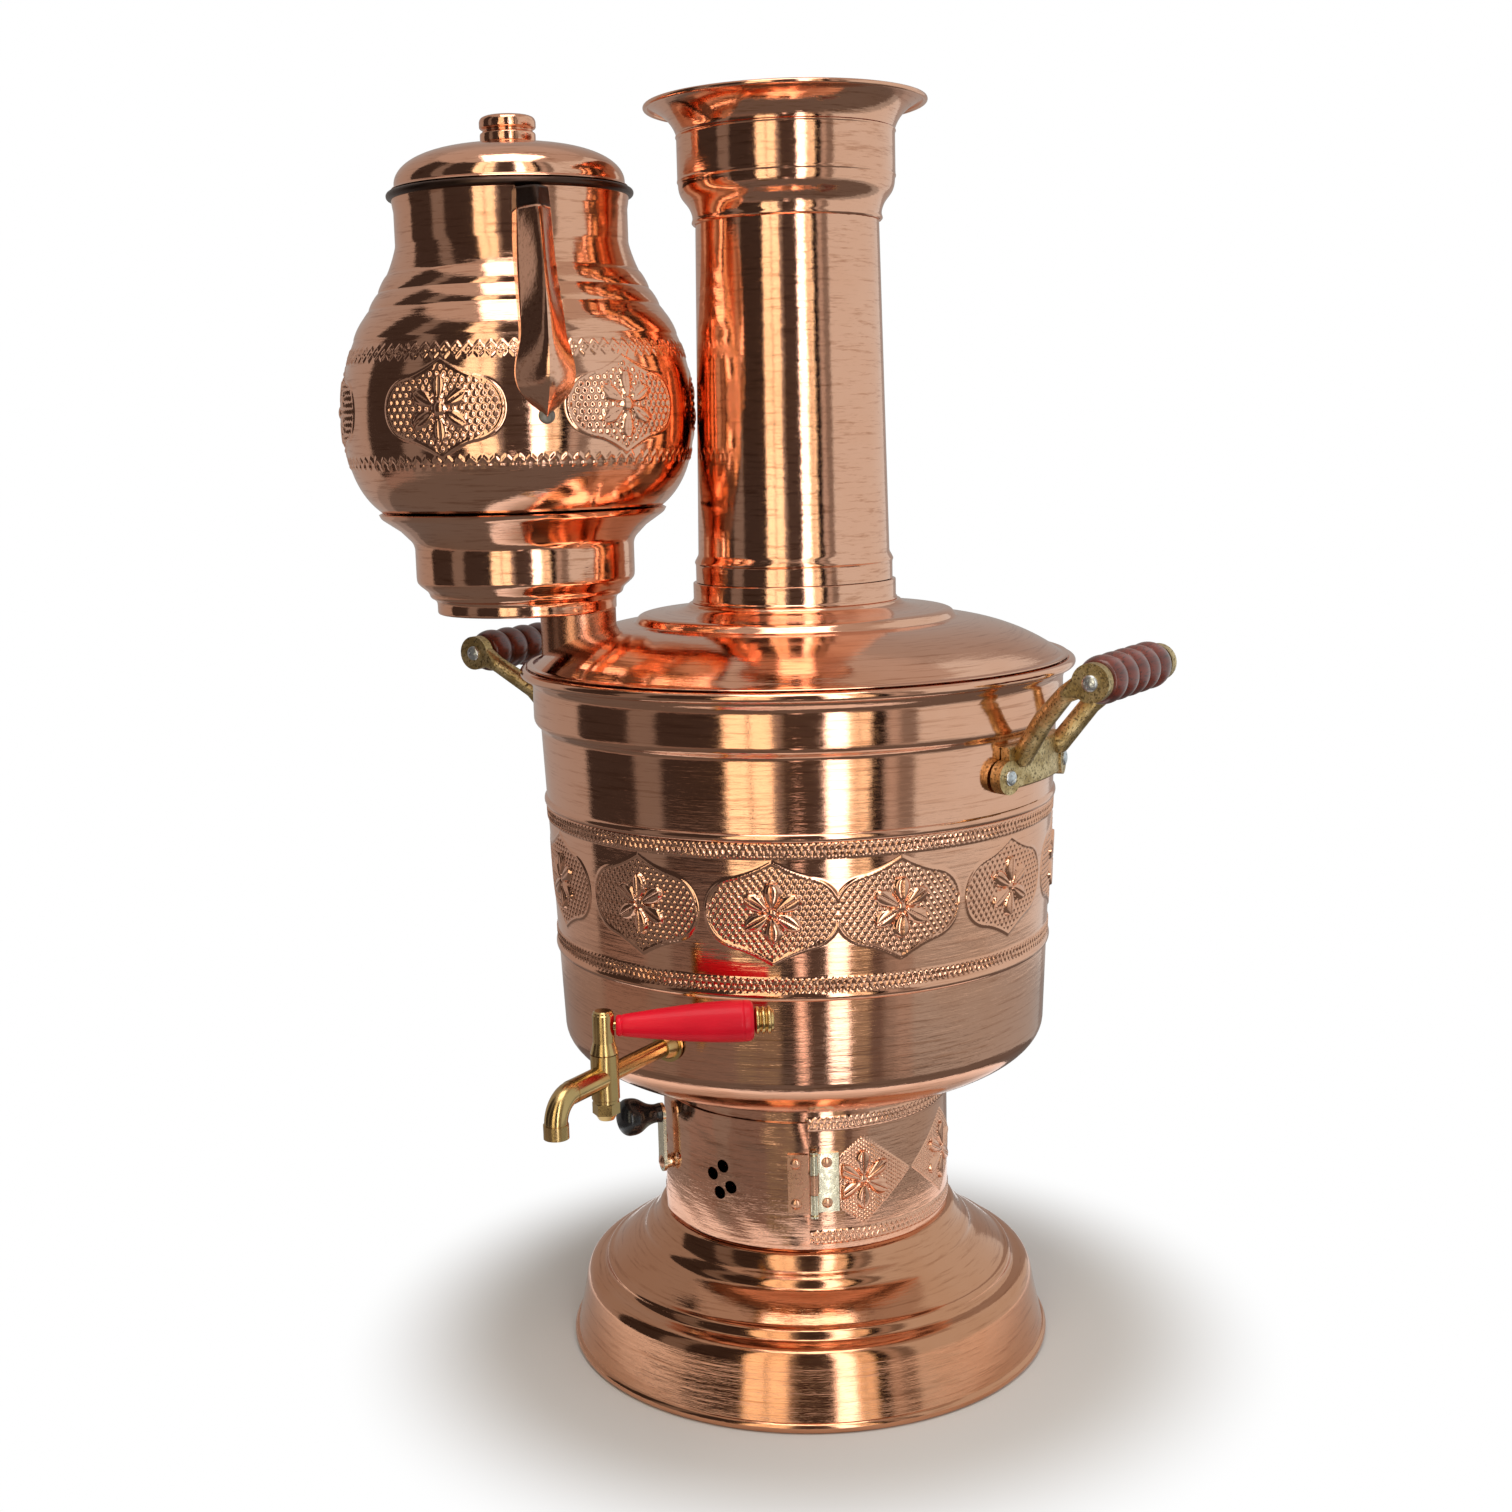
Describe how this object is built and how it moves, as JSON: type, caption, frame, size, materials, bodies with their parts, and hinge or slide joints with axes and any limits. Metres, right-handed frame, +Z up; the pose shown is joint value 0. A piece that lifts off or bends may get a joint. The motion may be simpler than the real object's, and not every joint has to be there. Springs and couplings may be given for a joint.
{
  "type": "samovar",
  "caption": "Charcoal samovar: a copper tank round a fire tube with a tap, side handles, a fire door, a lift-off lid with chimney, and a teapot on a side stand.",
  "frame": {"origin": "on the floor under the body's axis", "axes": "+Z up along the body and chimney, -Y towards the tap, +X to the right of someone who faces the tap"},
  "size_m": [0.3667, 0.3201, 0.5614],
  "materials": {
    "copper": "polished copper sheet with fine spinning lines",
    "copper_rivet": "copper, hammered heads",
    "cast_iron": "black, rough",
    "hinge_plate": "bright plated sheet with a yellow cast",
    "latch_plate": "bright plated strip",
    "black_knob": "glossy black, moulded",
    "tap_brass": "polished yellow brass",
    "seal_rubber": "black rubber",
    "red_grip": "glossy red lacquer on turned wood",
    "cast_brass": "dull cast brass, slightly rough",
    "ribbed_wood": "dark red-brown varnish",
    "zinc_screw": "bright zinc plating"
  },
  "bodies": {
    "root": {"foot_shell": "copper", "ash_plate": "copper", "neck_shell": "copper", "tank_bowl": "copper", "tank_shell": "copper", "fire_tube": "copper", "fire_grate": "cast_iron", "neck_leaf": "hinge_plate", "neck_leaf_rivets": "copper_rivet", "hinge_pin": "hinge_plate", "tap_body": "tap_brass", "tap_washer": "tap_brass", "tap_seal": "seal_rubber", "tap_lock_nut": "tap_brass", "right_bracket": "cast_brass", "right_grip": "ribbed_wood", "right_rod": "zinc_screw", "right_end_screws": "zinc_screw", "right_bracket_screws": "zinc_screw", "right_bracket_nuts": "zinc_screw", "left_bracket": "cast_brass", "left_grip": "ribbed_wood", "left_rod": "zinc_screw", "left_end_screws": "zinc_screw", "left_bracket_screws": "zinc_screw", "left_bracket_nuts": "zinc_screw"},
    "tap_plug": {"tap_plug": "tap_brass", "tap_plug_washer": "tap_brass", "tap_plug_nut": "tap_brass", "lever_stem": "tap_brass", "lever_grip": "red_grip", "lever_ferrule": "tap_brass"},
    "fire_door": {"fire_door": "copper", "door_leaf": "copper", "door_leaf_rivets": "copper_rivet", "latch_stop": "copper_rivet"},
    "latch": {"latch_lever": "latch_plate", "latch_rivet": "copper_rivet", "latch_knob": "black_knob"},
    "lid": {"lid_shell": "copper", "lid_collar": "copper", "steam_pipe": "copper", "stand_cup": "copper"},
    "chimney": {"chimney_tube": "copper", "chimney_crown": "copper"},
    "teapot": {"pot_body": "copper", "pot_spout": "copper", "pot_handle": "copper"},
    "teapot_lid": {"pot_lid": "copper", "pot_lid_knob": "copper", "pot_lid_rivet": "copper_rivet"}
  },
  "joints": [
    {"name": "tap_turn", "type": "hinge", "parent": "root", "child": "tap_plug", "pos_m": [0, -0.157, 0.168], "axis": [0, 0, 1], "range_deg": [-90, 0]},
    {"name": "door_swing", "type": "hinge", "parent": "root", "child": "fire_door", "pos_m": [0.03773, -0.05765, 0.081], "axis": [0, 0, 1], "range_deg": [0, 100]},
    {"name": "latch_turn", "type": "hinge", "parent": "fire_door", "child": "latch", "pos_m": [-0.04057, -0.05345, 0.09], "axis": [0.6046, 0.7965, 0], "range_deg": [0, 90]},
    {"name": "lid_lift", "type": "slide", "parent": "root", "child": "lid", "axis": [0, 0, 1], "range_m": [0, 0.08]},
    {"name": "chimney_lift", "type": "slide", "parent": "lid", "child": "chimney", "axis": [0, 0, 1], "range_m": [0, 0.03]},
    {"name": "teapot_lift", "type": "slide", "parent": "lid", "child": "teapot", "axis": [-0.1801, -0.104, 0.9781], "range_m": [0, 0.25]},
    {"name": "teapot_lid_lift", "type": "slide", "parent": "teapot", "child": "teapot_lid", "axis": [0, 0, 1], "range_m": [0, 0.04]}
  ]
}
